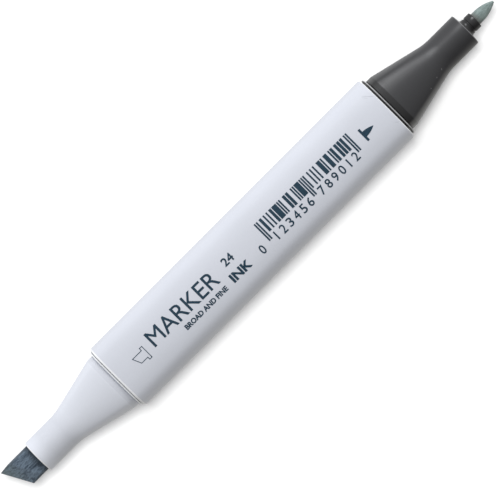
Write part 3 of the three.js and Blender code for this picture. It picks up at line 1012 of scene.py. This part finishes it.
def make_broad_nib():
    """A bar of rings, cut to its slanted and bevelled end and then put in its place."""
    width, thickness, corner = BROAD_NIB
    mesh = bmesh.new()
    loops = []
    chamfer_end = NIB_ROOT + ROOT_CHAMFER[0]
    for s in (NIB_ROOT, chamfer_end, *np.linspace(NIB_ROOT + 2, TIP_END + 2, 30)):
        inset = ROOT_CHAMFER[1] if s == NIB_ROOT else 0
        ring = round_box(width - 2 * inset, thickness - 2 * inset, corner - inset)
        loops.append([mesh.verts.new((s, y, z)) for y, z in ring])
    join_loops(mesh, loops)
    half = width / 2
    tip = Vector((TIP_END, SIDE_TAPER[1] - half, 0))
    heel = Vector((SHORT_SIDE_REACH, half, 0))
    slant = (heel - tip).normalized()
    ahead = Vector((slant.y, -slant.x, 0))
    cut(mesh, tip, ahead)
    for side in (1, -1):
        drop = (thickness - EDGE_THICKNESS) / 2
        normal = ahead * drop + Vector((0, 0, side * BEVEL_LENGTH))
        cut(mesh, tip + Vector((0, 0, side * EDGE_THICKNESS / 2)), normal)
    cut(mesh, tip, Vector((SIDE_TAPER[1], -SIDE_TAPER[0], 0)))
    bmesh.ops.recalc_face_normals(mesh, faces=mesh.faces)
    sharp = [
        edge for edge in mesh.edges if edge.is_manifold and edge.calc_face_angle(0) > ROUNDED_ABOVE
    ]
    bmesh.ops.bevel(
        mesh, geom=sharp, offset=EDGE_ROUNDING, segments=3, profile=0.5, affect="EDGES",
        clamp_overlap=True,
    )
    place = end_place(-1)
    for vert in mesh.verts:
        vert.co = Vector(place(*vert.co)) * MM
    piece = finish_mesh("broad_nib_tip", mesh, 50)
    settle(piece, "broad_nib", "broad_nib_felt", broad_felt, "broad_nib")


# ---- reservoir ----

POCKET_GAP = 0.12  # round each nib's inner end
CORE_CHAMFER = 0.15


def make_reservoir():
    """The fibre core, through its pockets and round its outside, and the film round it."""
    width, thickness, corner = BROAD_NIB
    broad_pocket = round_box(
        width + 2 * POCKET_GAP, thickness + 2 * POCKET_GAP, corner + POCKET_GAP
    )
    fine_pocket = circle(FINE_NIB_RADIUS + POCKET_GAP)
    pocket_floor = BARREL_END + NIB_ROOT - GAP
    end = RESERVOIR_END
    stations = [
        (-pocket_floor, broad_pocket),
        (-end, broad_pocket),
        (-end, circle(RESERVOIR_RADIUS - CORE_CHAMFER)),
        (-end + CORE_CHAMFER, circle(RESERVOIR_RADIUS)),
        (end - CORE_CHAMFER, circle(RESERVOIR_RADIUS)),
        (end, circle(RESERVOIR_RADIUS - CORE_CHAMFER)),
        (end, fine_pocket),
        (pocket_floor, fine_pocket),
    ]
    core = ring_solid("reservoir_core_fibre", stations, row_place)
    settle(core, "marker", "reservoir_fibre", core_fibre, "reservoir_core")
    inside = RESERVOIR_RADIUS + GAP
    tube = [
        (-end, circle(FILM_RADIUS)),
        (end, circle(FILM_RADIUS)),
        (end, circle(inside)),
        (-end, circle(inside)),
    ]
    film = ring_solid("reservoir_film_sleeve", tube, row_place, closed=True)
    settle(film, "marker", "reservoir_film", film_plastic, "reservoir_film")


# ---- stage, light and camera ----

FLOOR_HALF = 1.5  # in metres
FLOOR_COLORS = (0.71, 0.71, 0.71), (0.73, 0.73, 0.73)


def make_floor():
    shader = Shader("floor", Roughness=0.9, Specular_IOR_Level=0.1)
    cloud = shader.noise((0.004, 0.004, 0.004), detail=2)
    shader.link(shader.mix(cloud, *FLOOR_COLORS), "Base Color")
    mesh = bmesh.new()
    bmesh.ops.create_grid(mesh, x_segments=8, y_segments=8, size=FLOOR_HALF)
    floor = finish_mesh("floor", mesh)
    floor.data.materials.append(shader.material)
    floor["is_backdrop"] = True
    return floor


CAMERA_HEIGHT = 0.8  # above the marker's axis, in metres
FIELD_WIDTH = 96.95  # across the picture, at the height of the axis
SENSOR = 36  # width
ROLL = math.radians(45.01)
CENTRE_RIGHT = 0.45  # how far the marker's middle is to the right of the picture's, and above it
CENTRE_UP = 0.60


def make_camera():
    data = bpy.data.cameras.new("camera")
    data.sensor_width = SENSOR
    data.lens = SENSOR * CAMERA_HEIGHT / (FIELD_WIDTH * MM)
    data.clip_start, data.clip_end = 0.01, 10
    camera = bpy.data.objects.new("camera", data)
    turn = Matrix.Rotation(-ROLL, 3, "Z")
    shift = turn @ Vector((-CENTRE_RIGHT, -CENTRE_UP, 0)) * MM
    camera.location = (shift.x, shift.y, AXIS_HEIGHT * MM + CAMERA_HEIGHT)
    camera.rotation_euler = (0, 0, -ROLL)
    bpy.context.scene.collection.objects.link(camera)
    bpy.context.scene.camera = camera


# The two lights: metres from the marker, degrees of tilt from overhead, degrees in plan from X,
# width, power and colour.
KEY = (0.9, 47, 55, 0.35, 2.3, (0.97, 0.98, 1.0))
WASH = (1.0, 6, 90, 0.28, 10.0, (1.0, 1.0, 1.0))


def area_light(name, pieces, distance, tilt, turn, size, power, color):
    """A square light aimed at the marker. It falls on these pieces only."""
    data = bpy.data.lights.new(name, "AREA")
    data.shape = "SQUARE"
    data.size = size
    data.energy = power
    data.color = color
    tilt, turn = math.radians(tilt), math.radians(turn)
    reach = distance * math.sin(tilt)
    light = bpy.data.objects.new(name, data)
    light.location = reach * math.cos(turn), reach * math.sin(turn), distance * math.cos(tilt)
    light.rotation_euler = (-light.location).to_track_quat("-Z", "Y").to_euler()
    bpy.context.scene.collection.objects.link(light)
    group = bpy.data.collections.new("lit_by_" + name)
    for piece in pieces:
        group.objects.link(piece)
    light.light_linking.receiver_collection = group


SKY_LEVEL = 0.76  # the light from overhead
SKY_SLOPE = (0.18, 0.66, 0.0)  # how much brighter the light is towards each axis
SKY_LEAST = 0.22
SKY_MOST = 1.12
GROUND_SHARE = 0.82  # the light from below, as a share of the light from the same side
GROUND_LEAST = 0.66
HORIZON = (-0.2, 0.05)  # heights between which the light from below gives way to the sky's
DIM_COLOR = (1.0, 0.99, 0.955)
SKY_COLOR = (0.98, 0.99, 1.0)
COLOR_SPAN = (-0.5, 0.2)  # the slopes at which the light has the dim and the sky's colour


def make_sky():
    """Soft light all round, brightest and coolest from one side and dimmer from below."""
    world = bpy.data.worlds.new("studio")
    world.use_nodes = True
    sky = NodeMaker(world.node_tree)
    direction = sky.node("ShaderNodeTexCoord").outputs["Generated"]
    slope = sky.dot(direction, SKY_SLOPE)
    level = sky.math("MINIMUM", sky.math("ADD", slope, SKY_LEVEL), SKY_MOST)
    above = sky.math("MAXIMUM", level, SKY_LEAST)
    below = sky.math("MAXIMUM", sky.math("MULTIPLY", level, GROUND_SHARE), GROUND_LEAST)
    height = sky.node("ShaderNodeSeparateXYZ", {0: direction}).outputs["Z"]
    share = sky.ranged(height, *HORIZON)
    strength = sky.math(
        "ADD",
        sky.math("MULTIPLY", above, share),
        sky.math("MULTIPLY", below, sky.math("SUBTRACT", 1.0, share)),
    )
    color = sky.mix(sky.ranged(slope, *COLOR_SPAN), DIM_COLOR, SKY_COLOR)
    background = world.node_tree.nodes["Background"]
    world.node_tree.links.new(color, background.inputs["Color"])
    world.node_tree.links.new(strength, background.inputs["Strength"])
    bpy.context.scene.world = world


def make_light(floor):
    make_sky()
    floor.visible_diffuse = False
    floor.visible_glossy = False
    marker = [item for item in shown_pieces() if item is not floor]
    area_light("key", marker, *KEY)
    area_light("wash", [floor], *WASH)


make_camera()
make_barrel()
make_words()
make_bar_code()
make_pictograms()
make_broad_collar()
make_fine_collar()
make_holder()
make_fine_nib()
make_broad_nib()
make_reservoir()
make_light(make_floor())
bpy.context.scene.view_settings.view_transform = "Standard"

bpy.context.view_layer.update()
